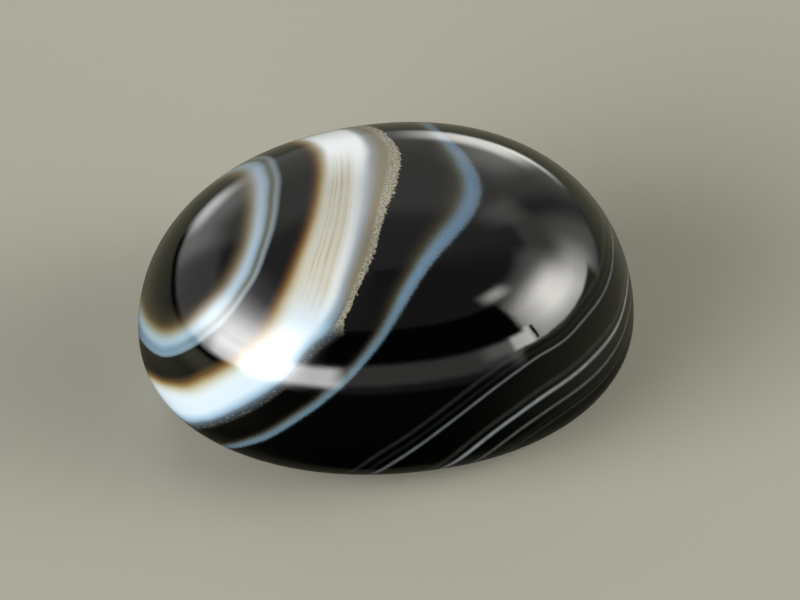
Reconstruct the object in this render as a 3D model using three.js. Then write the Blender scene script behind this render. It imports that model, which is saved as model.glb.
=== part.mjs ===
import * as THREE from 'three';

// Sulemani agate: one banded agate pebble, ground and polished as a high oval cabochon.
// Millimetres, +Z up. The origin is under the middle of the stone, on the surface it rests on,
// and +X runs along its length.

// Real sizes
const LENGTH = 25.0; // along X, at the widest line
const WIDTH = 19.8; // along Y, at the widest line
const HEIGHT = 12.4; // from the flat spot underneath to the top of the crown
const WIDEST_LINE_HEIGHT = 3.6; // height of the widest line above the flat spot
const FLAT_SPOT_LENGTH = 12.5; // along X; the flat spot has the same plan as the stone

// How the curves were ground. An exponent of 2 gives an ellipse, and more gives a squarer curve.
const PLAN_EXPONENT = 2.12;
const CROWN_SIDE_EXPONENT = 2.65;
const CROWN_HEIGHT_EXPONENT = 2.08;
const UNDERSIDE_SIDE_EXPONENT = 2.3;
const UNDERSIDE_HEIGHT_EXPONENT = 2.08;
const BROADER_END = 0.035; // the +X end is this share wider than the middle, the -X end narrower

// How finely the curves are divided
const STEPS_AROUND = 96;
const CROWN_STEPS = 24;
const UNDERSIDE_STEPS = 10;

const FULL_RADIUS = LENGTH / 2;
const FLAT_SPOT_RADIUS = FLAT_SPOT_LENGTH / 2;
const QUARTER_TURN = Math.PI / 2;

// Height and radius along the curve from the flat spot's edge up to the widest line
function undersideProfile() {
  const points = [];
  for (let i = 0; i < UNDERSIDE_STEPS; i += 1) {
    const turn = QUARTER_TURN * (1 - i / UNDERSIDE_STEPS);
    const outward = Math.max(Math.cos(turn), 0) ** (2 / UNDERSIDE_SIDE_EXPONENT);
    const downward = Math.sin(turn) ** (2 / UNDERSIDE_HEIGHT_EXPONENT);
    const radius = i === 0 ? FLAT_SPOT_RADIUS : FLAT_SPOT_RADIUS + (FULL_RADIUS - FLAT_SPOT_RADIUS) * outward;
    points.push(new THREE.Vector2(radius, WIDEST_LINE_HEIGHT * (1 - downward)));
  }
  return points;
}

// Height and radius along the curve from the widest line up to the top of the crown
function crownProfile() {
  const points = [];
  for (let i = 0; i < CROWN_STEPS; i += 1) {
    const turn = QUARTER_TURN * (i / CROWN_STEPS);
    const outward = Math.cos(turn) ** (2 / CROWN_SIDE_EXPONENT);
    const upward = Math.sin(turn) ** (2 / CROWN_HEIGHT_EXPONENT);
    const height = WIDEST_LINE_HEIGHT + (HEIGHT - WIDEST_LINE_HEIGHT) * upward;
    points.push(new THREE.Vector2(FULL_RADIUS * outward, height));
  }
  points.push(new THREE.Vector2(0, HEIGHT));
  return points;
}

// The stone's edge seen from above, at an angle around +Z
function planEdge(angle) {
  const along = Math.cos(angle);
  const across = Math.sin(angle);
  const fullness = (Math.abs(along) ** PLAN_EXPONENT + Math.abs(across) ** PLAN_EXPONENT) ** (-1 / PLAN_EXPONENT);
  const x = (LENGTH / 2) * fullness * along;
  const y = (WIDTH / 2) * fullness * across * (1 + BROADER_END * along);
  return new THREE.Vector2(x, y);
}

// The round turning is reshaped so that each level has the stone's plan
function cabochonGeometry() {
  const profile = [new THREE.Vector2(0, 0), ...undersideProfile(), ...crownProfile()];
  const geometry = new THREE.LatheGeometry(profile, STEPS_AROUND);
  geometry.rotateX(QUARTER_TURN);
  const position = geometry.getAttribute('position');
  for (let i = 0; i < position.count; i += 1) {
    const share = Math.hypot(position.getX(i), position.getY(i)) / FULL_RADIUS;
    const edge = planEdge(Math.atan2(position.getY(i), position.getX(i)));
    position.setX(i, share * edge.x);
    position.setY(i, share * edge.y);
  }
  geometry.computeVertexNormals();
  return geometry;
}

// Near-black polished chalcedony is the stone's main colour
function polishedAgate() {
  return new THREE.MeshStandardMaterial({ color: 0x16110c, roughness: 0.06, metalness: 0 });
}

function agateCabochon() {
  const mesh = new THREE.Mesh(cabochonGeometry(), polishedAgate());
  mesh.name = 'agate_cabochon';
  return mesh;
}

const sulemaniAgate = new THREE.Group();
sulemaniAgate.add(agateCabochon());

export default sulemaniAgate;
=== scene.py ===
import math

import bpy
import numpy as np
from mathutils import Matrix, Vector
from mathutils.bvhtree import BVHTree


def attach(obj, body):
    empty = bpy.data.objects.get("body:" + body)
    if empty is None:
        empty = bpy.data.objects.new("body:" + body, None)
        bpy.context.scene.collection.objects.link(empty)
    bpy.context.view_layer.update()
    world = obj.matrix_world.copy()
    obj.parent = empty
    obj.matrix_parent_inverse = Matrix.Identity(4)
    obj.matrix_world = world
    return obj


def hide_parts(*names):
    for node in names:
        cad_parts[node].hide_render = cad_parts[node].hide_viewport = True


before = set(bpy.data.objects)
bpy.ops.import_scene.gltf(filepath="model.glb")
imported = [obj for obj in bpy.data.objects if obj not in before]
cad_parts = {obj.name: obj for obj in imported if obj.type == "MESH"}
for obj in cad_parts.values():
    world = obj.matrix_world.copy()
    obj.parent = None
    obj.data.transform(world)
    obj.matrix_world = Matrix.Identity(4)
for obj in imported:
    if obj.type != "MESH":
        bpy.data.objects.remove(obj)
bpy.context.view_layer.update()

# A sulemani agate: one banded agate pebble, ground and polished as a high oval cabochon.
# Metres, +Z up. Sizes are written in millimetres times MM.

MM = 0.001

# The stone's real sizes and the curves it was ground to, as in the frame
LENGTH = 25.0
WIDTH = 19.8
HEIGHT = 12.4
WIDEST_LINE_HEIGHT = 3.6
FLAT_SPOT_SHARE = 0.5
PLAN_EXPONENT = 2.12
CROWN_SIDE_EXPONENT = 2.65
CROWN_HEIGHT_EXPONENT = 2.08
UNDERSIDE_SIDE_EXPONENT = 2.3
UNDERSIDE_HEIGHT_EXPONENT = 2.08
BROADER_END = 0.035

# How finely the polished surface is divided
STEPS_AROUND = 440
FLAT_SPOT_ROWS = 6
UNDERSIDE_ROWS = 34
CROWN_ROWS = 120

# The camera, which looks down on the stone from a little to the left of its long side
CAMERA_AZIMUTH = math.radians(-10.2)
CAMERA_ELEVATION = math.radians(42.0)
CAMERA_DISTANCE = 300.0
CAMERA_AIM_HEIGHT = 5.58
CAMERA_AIM_RIGHT = 0.701
CAMERA_AIM_UP = -0.546
PIXELS_PER_MM = 19.949
PICTURE_WIDTH = 800
PICTURE_HEIGHT = 600
SENSOR_WIDTH = 36.0
CAMERA_NEAR_LIMIT = 10.0
CAMERA_FAR_LIMIT = 10000.0

# Growth layers, numbered in millimetres of growth outwards from the eye at the stone's left end.
# Each has the pixels that it runs through in the picture, and places in millimetres on the far side
# and the underside, where it can't be seen.
EYE_EDGE = 0.0
EYE_DARK_LINE = 0.95
EYE_RING_EDGE = 1.45
WHITE_BAND_INNER = 3.35
WHITE_BAND_OUTER = 6.0
CRYSTAL_EDGE = 6.8
BLUE_BAND_INNER = 9.5
BLUE_BAND_OUTER = 10.1
HAIRLINE_A = 15.6
HAIRLINE_B = 16.5
HAIRLINE_C = 18.6
HAIRLINE_D = 19.6

LAYERS = [
    (EYE_EDGE,
     [(141, 300), (145, 315), (154, 326), (166, 331), (188, 323), (212, 302), (233, 274), (246, 243),
      (252, 205), (249, 180), (241, 173), (229, 174)],
     [(-10.4, 5.2, 7.2), (-11.4, 4.7, 5.6), (-12.0, 3.0, 4.6)]),
    (EYE_DARK_LINE,
     [(264, 161), (272, 180), (270, 210), (263, 242), (249, 279), (233, 303), (216, 321)],
     []),
    (EYE_RING_EDGE,
     [(138, 330), (143, 343), (152, 352), (163, 357), (175, 356), (199, 344), (222, 326), (233, 314),
      (246, 295), (264, 262), (276, 225), (281, 190), (278, 165), (260, 156)],
     [(-8.8, 7.0, 7.2), (-10.4, 6.4, 5.0), (-11.6, 4.6, 3.6), (-12.2, 2.4, 3.2)]),
    (WHITE_BAND_INNER,
     [(150, 375), (160, 381), (172, 384), (198, 380), (222, 368), (245, 350), (268, 323), (283, 293),
      (295, 265), (306, 235), (315, 205), (319, 175), (314, 152), (298, 143)],
     [(-5.6, 8.2, 8.2), (-8.7, 7.7, 4.6), (-10.8, 5.8, 2.4), (-11.8, 2.4, 1.6)]),
    (WHITE_BAND_OUTER,
     [(184, 421), (197, 423), (211, 421), (226, 415), (242, 407), (256, 399), (270, 391), (284, 380),
      (300, 361), (325, 330), (338, 310), (349, 282), (360, 252), (367, 222), (372, 192), (375, 162),
      (368, 137)],
     [(-1.8, 8.2, 9.2), (-4.8, 9.0, 6.2), (-8.2, 7.9, 3.0), (-10.8, 4.4, 1.2)]),
    (CRYSTAL_EDGE,
     [(191, 427), (204, 427), (218, 424), (234, 418), (250, 411), (266, 401), (281, 390), (304, 364),
      (321, 347), (344, 319), (361, 284), (373, 257), (381, 229), (389, 203), (399, 176), (400, 152),
      (384, 132)],
     [(-1.0, 8.4, 9.2), (-3.9, 9.3, 6.0), (-7.4, 8.2, 2.8), (-10.2, 4.6, 0.8)]),
    (BLUE_BAND_INNER,
     [(245, 441), (280, 425), (318, 400), (348, 373), (373, 342), (398, 298), (422, 257), (441, 232),
      (459, 207), (464, 184), (455, 160), (438, 140)],
     []),
    (BLUE_BAND_OUTER,
     [(232, 449), (250, 446), (270, 439), (288, 429), (306, 417), (324, 404), (342, 389), (358, 373),
      (372, 357), (386, 339), (404, 309), (421, 279), (444, 249), (470, 219), (480, 198), (479, 178),
      (461, 149), (440, 131)],
     [(3.0, 7.7, 10.0), (0.2, 9.5, 6.5), (-3.6, 9.3, 3.0), (-7.0, 7.2, 0.8), (-8.6, 0.0, 0.1)]),
    (HAIRLINE_A,
     [(370, 459), (400, 440), (440, 411), (480, 380), (525, 349), (560, 327), (586, 295), (601, 264),
      (604, 238)],
     []),
    (HAIRLINE_B,
     [(381, 471), (420, 446), (460, 416), (500, 385), (540, 356), (580, 325), (602, 297), (612, 270),
      (613, 240)],
     [(11.2, 3.2, 6.6), (8.8, 6.9, 5.4), (5.2, 9.0, 4.0), (1.6, 9.6, 2.4), (-1.2, 8.8, 0.9),
      (-3.2, 3.0, 0.0), (-3.6, -3.0, 0.0)]),
    (HAIRLINE_C,
     [(442, 469), (480, 443), (520, 413), (560, 385), (600, 350), (619, 322), (627, 290)],
     []),
    (HAIRLINE_D,
     [(480, 459), (520, 430), (560, 402), (600, 370), (620, 341), (628, 318)],
     [(11.6, 4.0, 3.0), (9.2, 6.8, 1.4), (6.0, 7.4, 0.3), (1.9, 3.0, 0.0), (1.4, -3.0, 0.0)]),
]


def plan_edge(angle):
    """The stone's edge seen from above, at an angle around +Z."""
    along = np.cos(angle)
    across = np.sin(angle)
    fullness = (abs(along) ** PLAN_EXPONENT + abs(across) ** PLAN_EXPONENT) ** (-1 / PLAN_EXPONENT)
    x = LENGTH / 2 * fullness * along
    y = WIDTH / 2 * fullness * across * (1 + BROADER_END * along)
    return x, y


def ground_curve():
    """Shares of the full plan and heights, from the middle of the flat spot to the top of the crown."""
    flat = np.linspace(0, FLAT_SPOT_SHARE, FLAT_SPOT_ROWS, endpoint=False)
    rise = np.linspace(math.pi / 2, 0, UNDERSIDE_ROWS, endpoint=False)
    outward = np.cos(rise) ** (2 / UNDERSIDE_SIDE_EXPONENT)
    underside = FLAT_SPOT_SHARE + (1 - FLAT_SPOT_SHARE) * outward
    underside_height = WIDEST_LINE_HEIGHT * (1 - np.sin(rise) ** (2 / UNDERSIDE_HEIGHT_EXPONENT))
    turn = np.linspace(0, math.pi / 2, CROWN_ROWS, endpoint=False)
    crown = np.cos(turn) ** (2 / CROWN_SIDE_EXPONENT)
    crown_rise = (HEIGHT - WIDEST_LINE_HEIGHT) * np.sin(turn) ** (2 / CROWN_HEIGHT_EXPONENT)
    crown_height = WIDEST_LINE_HEIGHT + crown_rise
    shares = np.concatenate([flat[1:], underside, crown])
    heights = np.concatenate([0 * flat[1:], underside_height, crown_height])
    return shares, heights


def polished_surface():
    """Points in millimetres and faces of the whole polished surface."""
    shares, heights = ground_curve()
    angles = np.linspace(0, 2 * math.pi, STEPS_AROUND, endpoint=False)
    edge_x, edge_y = plan_edge(angles)
    x = np.outer(shares, edge_x)
    y = np.outer(shares, edge_y)
    z = np.repeat(heights[:, None], STEPS_AROUND, axis=1)
    rings = np.stack([x, y, z], axis=-1).reshape(-1, 3)
    points = np.concatenate([rings, [[0, 0, 0], [0, 0, HEIGHT]]])
    bottom = len(rings)
    top = bottom + 1
    last_row = (len(shares) - 1) * STEPS_AROUND
    faces = []
    for step in range(STEPS_AROUND):
        following = (step + 1) % STEPS_AROUND
        faces.append((bottom, following, step))
        faces.append((top, last_row + step, last_row + following))
        for row in range(len(shares) - 1):
            lower = row * STEPS_AROUND
            upper = lower + STEPS_AROUND
            faces.append((lower + step, lower + following, upper + following, upper + step))
    return points, faces


def camera_frame():
    """The camera's place in millimetres, and the directions to its right, upwards and back."""
    flat_back = Vector((math.sin(CAMERA_AZIMUTH), -math.cos(CAMERA_AZIMUTH), 0))
    right = Vector((math.cos(CAMERA_AZIMUTH), math.sin(CAMERA_AZIMUTH), 0))
    back = flat_back * math.cos(CAMERA_ELEVATION) + Vector((0, 0, math.sin(CAMERA_ELEVATION)))
    up = back.cross(right)
    aim = Vector((0, 0, CAMERA_AIM_HEIGHT)) + right * CAMERA_AIM_RIGHT + up * CAMERA_AIM_UP
    return aim + back * CAMERA_DISTANCE, right, up, back


def add_camera():
    """The camera that the picture is taken with."""
    place, right, up, back = camera_frame()
    data = bpy.data.cameras.new("picture_camera")
    data.sensor_width = SENSOR_WIDTH
    data.lens = PIXELS_PER_MM * CAMERA_DISTANCE * SENSOR_WIDTH / PICTURE_WIDTH
    data.clip_start = CAMERA_NEAR_LIMIT * MM
    data.clip_end = CAMERA_FAR_LIMIT * MM
    camera = bpy.data.objects.new("picture_camera", data)
    bpy.context.scene.collection.objects.link(camera)
    turn = Matrix((right, up, back)).transposed().to_4x4()
    camera.matrix_world = Matrix.Translation(place * MM) @ turn
    bpy.context.scene.camera = camera


def seen_on_stone(pixels, surface_tree):
    """Places in millimetres on the stone where the picture shows these pixels."""
    place, right, up, back = camera_frame()
    focal = PIXELS_PER_MM * CAMERA_DISTANCE
    found = []
    for column, row in pixels:
        across = column - PICTURE_WIDTH / 2
        upward = PICTURE_HEIGHT / 2 - row
        direction = right * across + up * upward - back * focal
        hit = surface_tree.ray_cast(place, direction.normalized())[0]
        if hit is not None:
            found.append(hit)
    return found


def layer_control_points(surface_tree):
    """Places in millimetres on the stone that the layers run through, and the depth of growth at each."""
    places = []
    depths = []
    for depth, pixels, hidden in LAYERS:
        for spot in seen_on_stone(pixels, surface_tree) + [Vector(place) for place in hidden]:
            places.append(spot)
            depths.append(depth)
    return np.array(places), np.array(depths)


# How loosely the layers pass through their control points
LAYER_EASE = 0.15


def growth_depth(points, places, depths):
    """A smooth depth of growth through the control points, from cubed distances and a plane."""
    count = len(places)
    apart = np.linalg.norm(places[:, None] - places[None], axis=-1)
    plane = np.column_stack([np.ones(count), places])
    size = count + plane.shape[1]
    system = np.zeros((size, size))
    system[:count, :count] = apart ** 3 + LAYER_EASE * np.eye(count)
    system[:count, count:] = plane
    system[count:, :count] = plane.T
    weights = np.linalg.solve(system, np.concatenate([depths, np.zeros(size - count)]))
    depth = weights[count] + points @ weights[count + 1:]
    for place, weight in zip(places, weights[:count]):
        depth += weight * np.linalg.norm(points - place, axis=1) ** 3
    return depth


def agate_cabochon():
    """The stone, with its depth of growth kept at each point for the bands."""
    points, faces = polished_surface()
    tree = BVHTree.FromPolygons([Vector(point) for point in points], faces)
    places, depths = layer_control_points(tree)
    mesh = bpy.data.meshes.new("banded_stone")
    mesh.from_pydata((points * MM).tolist(), [], faces)
    mesh.polygons.foreach_set("use_smooth", [True] * len(mesh.polygons))
    layer = mesh.attributes.new("growth_depth", "FLOAT", "POINT")
    layer.data.foreach_set("value", growth_depth(points, places, depths).astype(np.float32))
    mesh.update()
    stone = bpy.data.objects.new("banded_stone", mesh)
    bpy.context.scene.collection.objects.link(stone)
    return stone


def colour(red, green, blue):
    """A linear colour from display values of 0 to 255."""
    def linear(value):
        share = value / 255
        return share / 12.92 if share <= 0.04045 else ((share + 0.055) / 1.055) ** 2.4
    return (linear(red), linear(green), linear(blue), 1.0)


# Sockets of a mix node that mixes colours
MIX_SHARE = 0
MIX_FIRST = 6
MIX_SECOND = 7
MIX_RESULT = 2


class Nodes:
    """Short ways to add nodes to one tree."""

    def __init__(self, tree):
        self.tree = tree
        self.tree.nodes.clear()

    def add(self, kind, **settings):
        node = self.tree.nodes.new(kind)
        for name, value in settings.items():
            setattr(node, name, value)
        return node

    def feed(self, socket, value):
        """Links another node's output to a socket, or sets the socket to a constant."""
        if isinstance(value, bpy.types.NodeSocket):
            self.tree.links.new(value, socket)
        else:
            socket.default_value = value

    def math(self, operation, first, second=0.0, third=0.0, clamp=False):
        node = self.add("ShaderNodeMath", operation=operation, use_clamp=clamp)
        for socket, value in zip(node.inputs, (first, second, third)):
            self.feed(socket, value)
        return node.outputs[0]

    def smooth(self, value, start, end, low=0.0, high=1.0):
        """Low up to the start and high from the end on, with a smooth step between."""
        node = self.add("ShaderNodeMapRange", interpolation_type="SMOOTHSTEP")
        names = ("Value", "From Min", "From Max", "To Min", "To Max")
        for name, number in zip(names, (value, start, end, low, high)):
            self.feed(node.inputs[name], number)
        return node.outputs[0]

    def mix(self, share, first, second, blend="MIX"):
        node = self.add("ShaderNodeMix", data_type="RGBA", blend_type=blend)
        self.feed(node.inputs[MIX_SHARE], share)
        self.feed(node.inputs[MIX_FIRST], first)
        self.feed(node.inputs[MIX_SECOND], second)
        return node.outputs[MIX_RESULT]

    def noise(self, vector, scale, detail=2.0, roughness=0.5, dimensions="3D", value=None):
        node = self.add("ShaderNodeTexNoise", noise_dimensions=dimensions)
        if vector is not None:
            self.feed(node.inputs["Vector"], vector)
        if value is not None:
            self.feed(node.inputs["W"], value)
        self.feed(node.inputs["Scale"], scale)
        self.feed(node.inputs["Detail"], detail)
        self.feed(node.inputs["Roughness"], roughness)
        return node.outputs[0]

    def uneven(self, spot, noise):
        """A noise that goes up and down around 0."""
        return self.math("SUBTRACT", self.noise(spot, *noise), 0.5)

    def palette(self, depth, stops):
        """Colours at depths of growth, as one ramp."""
        lowest = stops[0][0]
        highest = stops[-1][0]
        share = self.math("DIVIDE", self.math("SUBTRACT", depth, lowest), highest - lowest, clamp=True)
        node = self.add("ShaderNodeValToRGB")
        ramp = node.color_ramp
        ramp.interpolation = "LINEAR"
        ramp.elements[0].position = 0.0
        ramp.elements[0].color = colour(*stops[0][1])
        ramp.elements[1].position = 1.0
        ramp.elements[1].color = colour(*stops[-1][1])
        for stop_depth, shade in stops[1:-1]:
            element = ramp.elements.new((stop_depth - lowest) / (highest - lowest))
            element.color = colour(*shade)
        self.feed(node.inputs[0], share)
        return node.outputs[0]


# The stone's own colours by depth of growth. The eye's ring, the white band and the blue band have one
# range of colours for the crown and one for low down.
BLACK = (2, 2, 2)
EYE_RING_ON_CROWN = [
    (-1.0, BLACK), (-0.6, (14, 12, 8)), (-0.4, (40, 34, 22)), (-0.2, (74, 64, 46)), (0.0, (106, 101, 87)),
    (0.15, (127, 131, 127)), (0.35, (141, 157, 167)), (0.55, (138, 156, 170)), (0.74, (116, 131, 138)),
    (0.87, (89, 96, 94)), (0.97, (80, 81, 74)), (1.07, (97, 103, 103)), (1.18, (114, 122, 126)),
    (1.29, (103, 111, 117)), (1.39, (70, 80, 84)), (1.5, BLACK),
]
EYE_RING_LOW_DOWN = [
    (-1.0, BLACK), (-0.65, (22, 18, 11)), (-0.4, (35, 27, 15)), (-0.2, (58, 46, 27)), (0.0, (93, 85, 62)),
    (0.15, (114, 115, 98)), (0.4, (126, 142, 148)), (0.62, (124, 146, 160)), (0.85, (99, 122, 138)),
    (1.05, (86, 110, 129)), (1.25, (96, 116, 132)), (1.38, (84, 100, 113)), (1.5, BLACK),
]
WHITE_BAND_ON_CROWN = [
    (2.75, BLACK), (2.95, (28, 12, 4)), (3.1, (53, 34, 11)), (3.25, (84, 60, 25)), (3.42, (122, 102, 67)),
    (3.6, (158, 147, 122)), (3.8, (174, 172, 158)), (4.1, (183, 189, 186)), (4.75, (188, 192, 187)),
    (5.2, (193, 196, 194)), (5.5, (181, 188, 192)), (5.7, (158, 165, 170)), (5.9, (141, 144, 144)),
    (6.1, (131, 126, 113)), (6.3, (128, 118, 100)), (6.42, (132, 125, 107)),
]
WHITE_BAND_LOW_DOWN = [
    (2.8, BLACK), (2.98, (36, 25, 13)), (3.2, (74, 54, 28)), (3.38, (116, 97, 59)), (3.6, (156, 152, 134)),
    (3.85, (176, 184, 182)), (4.1, (182, 194, 202)), (5.0, (180, 194, 205)), (5.25, (163, 184, 199)),
    (5.6, (139, 162, 179)), (5.85, (115, 138, 153)), (6.0, (92, 110, 122)), (6.15, (68, 80, 89)),
    (6.4, (50, 57, 62)), (6.7, (38, 41, 42)), (6.95, (17, 19, 18)), (7.15, BLACK),
]
WHITE_AT_THE_BACK = (248, 252, 255)
TAN_HAZE = (168, 158, 136)
TAN_THREADS = (158, 143, 115)
BLUE_BAND_ON_CROWN = [
    (8.5, BLACK), (8.8, (13, 11, 7)), (9.1, (33, 30, 17)), (9.25, (47, 46, 35)), (9.38, (63, 67, 61)),
    (9.5, (79, 90, 95)), (9.65, (89, 110, 127)), (9.8, (90, 114, 136)), (9.95, (86, 108, 128)),
    (10.06, (80, 97, 111)), (10.15, (36, 45, 51)), (10.22, (10, 11, 10)), (10.3, BLACK),
]
BLUE_BAND_LOW_DOWN = [
    (8.9, BLACK), (9.1, (12, 10, 6)), (9.22, (26, 24, 19)), (9.35, (46, 49, 46)), (9.5, (66, 76, 79)),
    (9.68, (81, 100, 110)), (9.9, (78, 98, 110)), (9.98, (60, 78, 89)), (10.07, (16, 26, 31)),
    (10.2, BLACK),
]
# Hairlines low on the broader end: depth of growth, half width and colour
HAIRLINES = [
    (15.62, 0.16, (30, 32, 32)),
    (16.06, 0.12, (20, 21, 19)),
    (16.46, 0.12, (84, 90, 93)),
    (18.12, 0.20, (38, 38, 35)),
    (18.61, 0.17, (124, 132, 136)),
    (19.58, 0.15, (80, 82, 81)),
    (20.14, 0.14, (18, 19, 17)),
    (20.45, 0.14, (36, 38, 34)),
]
# Where one range of colours gives way to the next, by depth of growth or by height in millimetres
EYE_TO_WHITE = 2.2
BLUE_TO_HAIRLINES = 12.8
CROWN_TO_LOW_DOWN_IN_EYE = (9.5, 6.5)
CROWN_TO_LOW_DOWN_IN_WHITE = (11.4, 9.7)
CROWN_TO_LOW_DOWN_IN_BLUE = (11.4, 9.6)

# Each noise here and below has its scale per millimetre, then its detail and its roughness. Each pair is
# where a smooth step starts and where it ends; two more numbers are its values there, if not 0 and 1.

# How the layers wander off their smooth course
WANDER_NOISE = (0.9, 4.0, 0.55)
WANDER = 0.08

# The white band low down, whose outer part is wider higher up
WHITE_BAND_MIDDLE = 4.5
WIDER_ABOVE = (8.6, 9.8)
WIDER_BY = 0.3

# The white band on the crown: clearer towards the back, with a tan haze and threads in front
CLEAR_FROM_INNER_EDGE = (3.6, 4.1)
CLEAR_FROM_OUTER_EDGE = (5.9, 5.45)
CLEAR_TOWARDS_BACK = (0.0, 4.5)
HAZE_FROM_INNER_EDGE = (3.6, 4.3)
HAZE_FROM_OUTER_EDGE = (5.3, 4.8)
HAZE_TOWARDS_FRONT = (4.0, 0.5)
HAZE_STRENGTH = 0.5
THREAD_NOISE = (6.0, 3.0, 0.6)
THREAD_EDGES = (0.38, 0.72)
THREAD_BREAKS_NOISE = (0.8, 2.0)
THREAD_BREAKS = (0.3, 0.65, 0.3, 0.8)

# The crystals along the white band's outer edge, and the specks that they thin out to
GRAIN_NOISE = (13.0, 3.0, 0.7)
GRAIN_CONTRAST = (0.36, 0.66)
DARKER_GRAINS = (102, 96, 80)
PALER_GRAINS = (178, 175, 158)
CRYSTALS_START = (6.3, 6.5)
SHADE_START = (5.3, 5.9)
SHADE_TOWARDS_FRONT = (-1.0, -4.0, 0.0, 0.3)
SPECKS = (136, 138, 134)
SPECK_CONTRAST = (0.54, 0.68)
SPECKS_START = (6.05, 6.3)
SPECKS_END = (7.05, 6.65)
SPECK_STRENGTH = 0.6
CRYSTALS_THIN_OUT = (10.3, 9.5)
THICKER_BACKWARD = 0.5

# The crystals' outer edge, with short uneven points
POINTS_NOISE = (6.5, 2.0, 0.65)
REACH_NOISE = (1.3, 1.0)
REACH = (0.3, 0.7, 0.25, 0.75)
SPECKS_REACH_FURTHER = 0.7
CRYSTAL_EDGE_SOFTNESS = 0.03

# The blue band's grain, which shifts its colours, and its sparkle, which makes them paler or darker
BLUE_GRAIN_NOISE = (10.0, 3.0, 0.7)
BLUE_GRAIN_SHIFT = 0.28
SPARKLE_NOISE = (22.0, 2.0, 0.7)
SPARKLE = (0.3, 0.7, 0.82, 1.18)

# How the hairlines vary in strength
HAIRLINE_NOISE = (1.6, 3.0)
HAIRLINE_STRENGTH = (0.25, 0.75, 0.75, 1.1)


def bands(nodes, spot, depth):
    """The stone's colour, by depth of growth and by place in millimetres."""
    parts = nodes.add("ShaderNodeSeparateXYZ")
    nodes.feed(parts.inputs[0], spot)
    backward, height = parts.outputs[1:]
    waved = nodes.math("MULTIPLY_ADD", nodes.uneven(spot, WANDER_NOISE), WANDER, depth)
    ring = eye_ring(nodes, height, waved)
    white = white_band(nodes, spot, backward, height, waved)
    inner = nodes.mix(nodes.math("GREATER_THAN", waved, EYE_TO_WHITE), ring, white)
    blue = blue_band(nodes, spot, height, waved)
    lines = hairlines(nodes, spot, depth)
    outer = nodes.mix(nodes.math("GREATER_THAN", depth, BLUE_TO_HAIRLINES), blue, lines)
    held_up = nodes.math("MULTIPLY_ADD", nodes.math("MAXIMUM", backward, 0.0), THICKER_BACKWARD, height)
    thin = nodes.smooth(held_up, *CRYSTALS_THIN_OUT)
    with_crystals = crystals(nodes, spot, backward, waved, thin, inner)
    return nodes.mix(crystals_end(nodes, spot, waved, thin), with_crystals, outer)


def eye_ring(nodes, height, waved):
    """The pale blue ring around the eye."""
    on_crown = nodes.palette(waved, EYE_RING_ON_CROWN)
    low_down = nodes.palette(waved, EYE_RING_LOW_DOWN)
    return nodes.mix(nodes.smooth(height, *CROWN_TO_LOW_DOWN_IN_EYE), on_crown, low_down)


def white_band(nodes, spot, backward, height, waved):
    """The white band, with a warm inner edge."""
    widened = nodes.math("MULTIPLY_ADD", nodes.smooth(height, *WIDER_ABOVE), -WIDER_BY, waved)
    inner_part = nodes.math("MINIMUM", waved, WHITE_BAND_MIDDLE)
    low_down = nodes.palette(nodes.math("MAXIMUM", widened, inner_part), WHITE_BAND_LOW_DOWN)
    on_crown = white_on_crown(nodes, spot, backward, waved)
    return nodes.mix(nodes.smooth(height, *CROWN_TO_LOW_DOWN_IN_WHITE), on_crown, low_down)


def white_on_crown(nodes, spot, backward, waved):
    """The white band with a tan haze and soft threads along its middle, which end in clearer white."""
    band = nodes.palette(waved, WHITE_BAND_ON_CROWN)
    past_inner = nodes.smooth(waved, *CLEAR_FROM_INNER_EDGE)
    heart = nodes.math("MULTIPLY", past_inner, nodes.smooth(waved, *CLEAR_FROM_OUTER_EDGE))
    clearer = nodes.math("MULTIPLY", heart, nodes.smooth(backward, *CLEAR_TOWARDS_BACK))
    band = nodes.mix(clearer, band, colour(*WHITE_AT_THE_BACK))
    past_inner = nodes.smooth(waved, *HAZE_FROM_INNER_EDGE)
    across = nodes.math("MULTIPLY", past_inner, nodes.smooth(waved, *HAZE_FROM_OUTER_EDGE))
    zone = nodes.math("MULTIPLY", across, nodes.smooth(backward, *HAZE_TOWARDS_FRONT))
    band = nodes.mix(nodes.math("MULTIPLY", zone, HAZE_STRENGTH), band, colour(*TAN_HAZE))
    threads = nodes.smooth(nodes.noise(None, *THREAD_NOISE, "1D", waved), *THREAD_EDGES)
    breaks = nodes.smooth(nodes.noise(spot, *THREAD_BREAKS_NOISE), *THREAD_BREAKS)
    strength = nodes.math("MULTIPLY", threads, breaks)
    return nodes.mix(nodes.math("MULTIPLY", strength, zone), band, colour(*TAN_THREADS))


def crystals(nodes, spot, backward, waved, thin, under):
    """Grainy crystals along the white band's outer edge, thinning out to pale specks low down."""
    grain = nodes.noise(spot, *GRAIN_NOISE)
    contrast = nodes.smooth(grain, *GRAIN_CONTRAST)
    sand = nodes.mix(contrast, colour(*DARKER_GRAINS), colour(*PALER_GRAINS))
    on_top = nodes.mix(nodes.smooth(waved, *CRYSTALS_START), under, sand)
    towards_front = nodes.smooth(backward, *SHADE_TOWARDS_FRONT)
    shade = nodes.math("MULTIPLY", nodes.smooth(waved, *SHADE_START), towards_front)
    on_top = nodes.mix(shade, on_top, colour(*BLACK))
    specks = nodes.math("MULTIPLY", nodes.smooth(grain, *SPECK_CONTRAST), nodes.smooth(waved, *SPECKS_START))
    fading = nodes.math("MULTIPLY", specks, nodes.smooth(waved, *SPECKS_END))
    scattered = nodes.mix(nodes.math("MULTIPLY", fading, SPECK_STRENGTH), under, colour(*SPECKS))
    return nodes.mix(thin, on_top, scattered)


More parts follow.
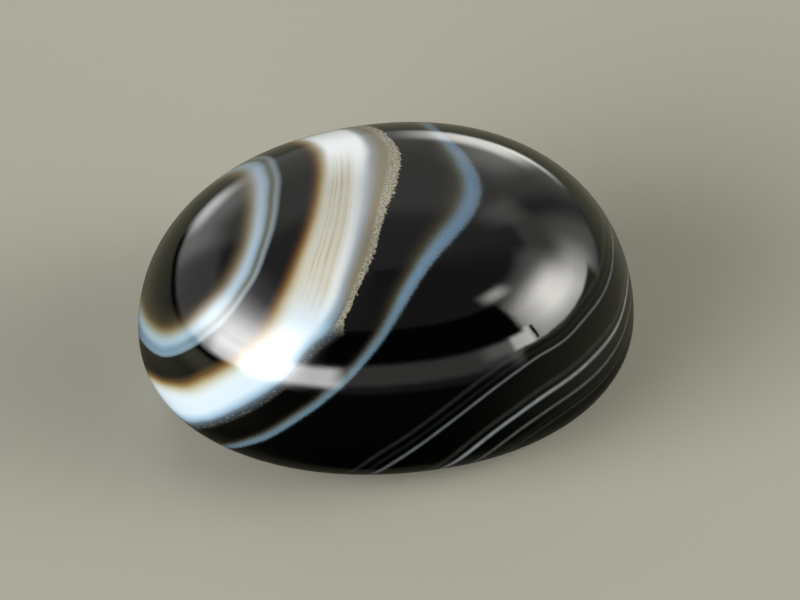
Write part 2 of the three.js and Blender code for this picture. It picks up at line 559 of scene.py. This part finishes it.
def crystals_end(nodes, spot, waved, thin):
    """0 inside the crystals' outer edge and 1 beyond it, with short uneven points."""
    reach = nodes.smooth(nodes.noise(spot, *REACH_NOISE), *REACH)
    edge = nodes.math("MULTIPLY_ADD", nodes.uneven(spot, POINTS_NOISE), reach, waved)
    edge = nodes.math("MULTIPLY_ADD", thin, -SPECKS_REACH_FURTHER, edge)
    return nodes.smooth(edge, CRYSTAL_EDGE - CRYSTAL_EDGE_SOFTNESS, CRYSTAL_EDGE + CRYSTAL_EDGE_SOFTNESS)


def blue_band(nodes, spot, height, waved):
    """The blue band, slightly grainy, with a crisp outer edge; it is narrower and greyer low down."""
    shifted = nodes.math("MULTIPLY_ADD", nodes.uneven(spot, BLUE_GRAIN_NOISE), BLUE_GRAIN_SHIFT, waved)
    on_crown = nodes.palette(shifted, BLUE_BAND_ON_CROWN)
    low_down = nodes.palette(shifted, BLUE_BAND_LOW_DOWN)
    band = nodes.mix(nodes.smooth(height, *CROWN_TO_LOW_DOWN_IN_BLUE), on_crown, low_down)
    sparkle = nodes.smooth(nodes.noise(spot, *SPARKLE_NOISE), *SPARKLE)
    return nodes.mix(1.0, band, sparkle, "MULTIPLY")


def line_stops(lines):
    """Ramp stops for thin lines on black, each fading out to both sides."""
    stops = []
    for depth, half_width, shade in lines:
        stops += [(depth - half_width, BLACK), (depth, shade), (depth + half_width, BLACK)]
    return stops


def hairlines(nodes, spot, depth):
    """Fine pale lines low on the broader end, a little uneven in strength."""
    lines = nodes.palette(depth, line_stops(HAIRLINES))
    strength = nodes.smooth(nodes.noise(spot, *HAIRLINE_NOISE), *HAIRLINE_STRENGTH)
    return nodes.mix(1.0, lines, strength, "MULTIPLY")


# The polish: very slight waves left by hand grinding, in millimetres, and a gloss that varies a little
GRINDING_NOISE = (0.55, 3.0, 0.5)
GRINDING_WAVES = 0.006
GLOSS_NOISE = (2.4, 4.0, 0.6)
GLOSS = (0.3, 0.7, 0.03, 0.06)
AGATE_REFRACTION = 1.54


def grinding_waves(nodes, spot):
    """The very slight waves of the polished surface."""
    waves = nodes.add("ShaderNodeBump")
    waves.inputs["Strength"].default_value = 1.0
    waves.inputs["Distance"].default_value = GRINDING_WAVES * MM
    nodes.feed(waves.inputs["Height"], nodes.noise(spot, *GRINDING_NOISE))
    return waves.outputs[0]


def polished_agate():
    """Near-black agate with a pale eye, a white band, a blue band and hairlines, polished to a gloss."""
    material = bpy.data.materials.new("polished_agate")
    material.use_nodes = True
    nodes = Nodes(material.node_tree)
    millimetres = nodes.add("ShaderNodeMapping", vector_type="POINT")
    nodes.feed(millimetres.inputs["Vector"], nodes.add("ShaderNodeTexCoord").outputs["Object"])
    millimetres.inputs["Scale"].default_value = (1 / MM, 1 / MM, 1 / MM)
    spot = millimetres.outputs[0]
    growth = nodes.add("ShaderNodeAttribute", attribute_type="GEOMETRY", attribute_name="growth_depth")
    shader = nodes.add("ShaderNodeBsdfPrincipled")
    nodes.feed(shader.inputs["Base Color"], bands(nodes, spot, growth.outputs["Fac"]))
    nodes.feed(shader.inputs["Roughness"], nodes.smooth(nodes.noise(spot, *GLOSS_NOISE), *GLOSS))
    nodes.feed(shader.inputs["Normal"], grinding_waves(nodes, spot))
    shader.inputs["IOR"].default_value = AGATE_REFRACTION
    output = nodes.add("ShaderNodeOutputMaterial")
    nodes.feed(output.inputs["Surface"], shader.outputs[0])
    return material


# The floor's linear colour, how matt it is, and half its side in millimetres
FLOOR_COLOUR = (0.375, 0.362, 0.30, 1.0)
FLOOR_ROUGHNESS = 0.9
FLOOR_SPECULAR = 0.2
FLOOR_HALF_SIDE = 3000.0


def floor_material():
    """A pale, matt material for the floor."""
    material = bpy.data.materials.new("pale_floor")
    material.use_nodes = True
    shader = material.node_tree.nodes["Principled BSDF"]
    shader.inputs["Base Color"].default_value = FLOOR_COLOUR
    shader.inputs["Roughness"].default_value = FLOOR_ROUGHNESS
    shader.inputs["Specular IOR Level"].default_value = FLOOR_SPECULAR
    return material


def pale_floor():
    """A plain pale floor. The polish reflects the tent's ground in its place."""
    half = FLOOR_HALF_SIDE * MM
    corners = [(-half, -half, 0), (half, -half, 0), (half, half, 0), (-half, half, 0)]
    mesh = bpy.data.meshes.new("floor")
    mesh.from_pydata(corners, [], [(0, 1, 2, 3)])
    mesh.materials.append(floor_material())
    floor = bpy.data.objects.new("floor", mesh)
    floor.visible_glossy = False
    bpy.context.scene.collection.objects.link(floor)


# Soft panels of the light tent around the stone, in degrees: azimuth from the camera towards its right,
# elevation, half width, half height, how soft the sides are, how soft the top and bottom are; then brightness
LEFT_PANELS = [
    (-57, 20, 30, 17, 9, 13, 9.0),
    (-60, 20, 16, 8, 14, 12, 8.5),
    (-40, 8, 30, 7, 4, 3, 5.0),
    (-22, 8, 13, 6.5, 3, 3, 4.5),
    (-70, 46, 30, 8, 16, 8, 0.7),
    (-147, 6, 8, 5, 6, 5, 3.0),
    (-140, 14, 14, 11, 8, 8, 0.9),
    (-110, 16, 22, 16, 6, 4, 0.5),
    (-130, 68, 115, 26, 30, 14, 0.16),
]
RIGHT_PANELS = [
    (82, 17, 25, 18.5, 12, 7, 5.0),
    (86, 26.5, 13, 12, 13, 8, 7.6),
    (110, 16, 11, 10, 10, 8, 3.2),
    (86, 33, 27, 16, 9, 4, 0.95),
    (124, 16, 10, 14, 8, 8, 0.4),
    (125, 22, 15, 23, 8, 3, 0.42),
    (146, 43, 7, 7, 5, 6, 0.6),
    (56, 14.2, 5.5, 6.3, 1.5, 1.2, 5.2),
    (22, 9.5, 38, 7, 4, 2.5, 0.45),
    (45, 13, 7, 5, 5, 3, 1.0),
    (65.5, 48, 8, 3, 7, 3, 4.8),
    (169.5, 4.5, 8, 6, 5, 4, 3.6),
    (161, -2, 6, 3, 5, 2, 2.2),
    (165, 16, 6, 12, 5, 8, 0.8),
    (190, 24, 42, 26, 6, 6, 0.34),
]
# Dark places in the tent: an opening in front, the foot of its left side and a slit between two panels on
# the right. Then where the ground rises.
DARK_PLACES = [
    (21, 30.5, 38, 12.5, 2.5, 2),
    (-96, -9, 46, 10.5, 5, 2.5),
    (63.3, 14.6, 0.8, 5, 0.4, 0.6),
]
RISING_GROUND = (84.5, -2, 32.5, 10.3, 3.5, 1.3)
CEILING_BRIGHTNESS = 0.13
LEFT_LIGHT = (1.0, 1.0, 1.0, 1.0)
RIGHT_LIGHT = (1.0, 0.985, 0.93, 1.0)
GROUND_LIGHT = (1.0, 0.97, 0.70, 1.0)
# The ground as the polish reflects it: where it meets the tent, in degrees of elevation, its brightness
# from the front to the sides, by azimuth, and how it darkens close under the stone, by elevation
HORIZON = (-5, -1)
GROUND_FRONT_TO_SIDES = (20, 100, 0.01, 0.235)
GROUND_UNDER_STONE = (-47, -24, 0.25, 1.0)
GROUND_PANELS = [
    (-78, -7, 20, 7, 14, 6, 0.4),
]
# The share of the tent's brightness that lights the stone's body; the polish reflects the whole of it
LIGHT_SHARE = 0.7


def panel_share(nodes, azimuth, elevation, panel):
    """1 inside a soft-edged panel of the tent and 0 outside it."""
    middle, height, half_width, half_height, side_softness, height_softness = panel
    off_side = nodes.math("ABSOLUTE", nodes.math("WRAP", nodes.math("SUBTRACT", azimuth, middle), 180, -180))
    off_height = nodes.math("ABSOLUTE", nodes.math("SUBTRACT", elevation, height))
    side = nodes.smooth(off_side, half_width + side_softness, half_width - side_softness)
    level = nodes.smooth(off_height, half_height + height_softness, half_height - height_softness)
    return nodes.math("MULTIPLY", side, level)


def panels_brightness(nodes, azimuth, elevation, panels, start):
    """The brightness of all these panels, added to what is there at the start."""
    total = start
    for *panel, brightness in panels:
        total = nodes.math("MULTIPLY_ADD", panel_share(nodes, azimuth, elevation, panel), brightness, total)
    return total


def above_ground(nodes, azimuth, elevation):
    """1 above the horizon and off the rising ground, and 0 on the ground."""
    on_rise = panel_share(nodes, azimuth, elevation, RISING_GROUND)
    return nodes.math("MULTIPLY", nodes.smooth(elevation, *HORIZON), nodes.math("SUBTRACT", 1.0, on_rise))


def outside_dark_places(nodes, azimuth, elevation):
    """0 in the tent's dark places and 1 outside them."""
    outside = 1.0
    for place in DARK_PLACES:
        beyond = nodes.math("SUBTRACT", 1.0, panel_share(nodes, azimuth, elevation, place))
        outside = nodes.math("MULTIPLY", outside, beyond)
    return outside


def ground_brightness(nodes, azimuth, elevation):
    """The ground's brightness: dim in front and close under the stone, and lit from the left."""
    around = nodes.smooth(nodes.math("ABSOLUTE", azimuth), *GROUND_FRONT_TO_SIDES)
    lit = panels_brightness(nodes, azimuth, elevation, GROUND_PANELS, around)
    return nodes.math("MULTIPLY", lit, nodes.smooth(elevation, *GROUND_UNDER_STONE))


def tent_directions(nodes):
    """Azimuth from the camera towards its right, and elevation, both in degrees."""
    turned = nodes.add("ShaderNodeVectorRotate", rotation_type="Z_AXIS")
    nodes.feed(turned.inputs["Vector"], nodes.add("ShaderNodeTexCoord").outputs["Generated"])
    turned.inputs["Angle"].default_value = -CAMERA_AZIMUTH
    parts = nodes.add("ShaderNodeSeparateXYZ")
    nodes.feed(parts.inputs[0], turned.outputs[0])
    towards_camera = nodes.math("MULTIPLY", parts.outputs[1], -1.0)
    azimuth = nodes.math("DEGREES", nodes.math("ARCTAN2", parts.outputs[0], towards_camera))
    elevation = nodes.math("DEGREES", nodes.math("ARCSINE", parts.outputs[2]))
    return azimuth, elevation


def lights_together(nodes, lights):
    """One light made of several, each with its colour and its strength by direction."""
    total = None
    for light, strength in lights:
        background = nodes.add("ShaderNodeBackground")
        background.inputs["Color"].default_value = light
        nodes.feed(background.inputs["Strength"], strength)
        if total is None:
            total = background.outputs[0]
            continue
        both = nodes.add("ShaderNodeAddShader")
        nodes.feed(both.inputs[0], total)
        nodes.feed(both.inputs[1], background.outputs[0])
        total = both.outputs[0]
    return total


def light_tent():
    """Soft studio light: a dim tent with pale panels to the left, the right and behind."""
    world = bpy.data.worlds.new("light_tent")
    world.use_nodes = True
    bpy.context.scene.world = world
    nodes = Nodes(world.node_tree)
    azimuth, elevation = tent_directions(nodes)
    above = above_ground(nodes, azimuth, elevation)
    panels_shown = nodes.math("MULTIPLY", above, outside_dark_places(nodes, azimuth, elevation))
    ground_shown = nodes.math("SUBTRACT", 1.0, above)
    left = panels_brightness(nodes, azimuth, elevation, LEFT_PANELS, CEILING_BRIGHTNESS)
    right = panels_brightness(nodes, azimuth, elevation, RIGHT_PANELS, 0.0)
    ground = ground_brightness(nodes, azimuth, elevation)
    in_polish = nodes.add("ShaderNodeLightPath").outputs["Is Glossy Ray"]
    share = nodes.math("MULTIPLY_ADD", in_polish, 1 - LIGHT_SHARE, LIGHT_SHARE)
    parts = (
        (LEFT_LIGHT, left, panels_shown),
        (RIGHT_LIGHT, right, panels_shown),
        (GROUND_LIGHT, ground, ground_shown),
    )
    lights = []
    for light, brightness, shown in parts:
        there = nodes.math("MULTIPLY", brightness, shown)
        lights.append((light, nodes.math("MULTIPLY", there, share)))
    output = nodes.add("ShaderNodeOutputWorld")
    nodes.feed(output.inputs["Surface"], lights_together(nodes, lights))


bpy.context.scene.view_settings.view_transform = "Standard"
add_camera()
light_tent()
pale_floor()

stone = agate_cabochon()
stone.data.materials.append(polished_agate())
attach(stone, "root")
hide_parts("agate_cabochon")
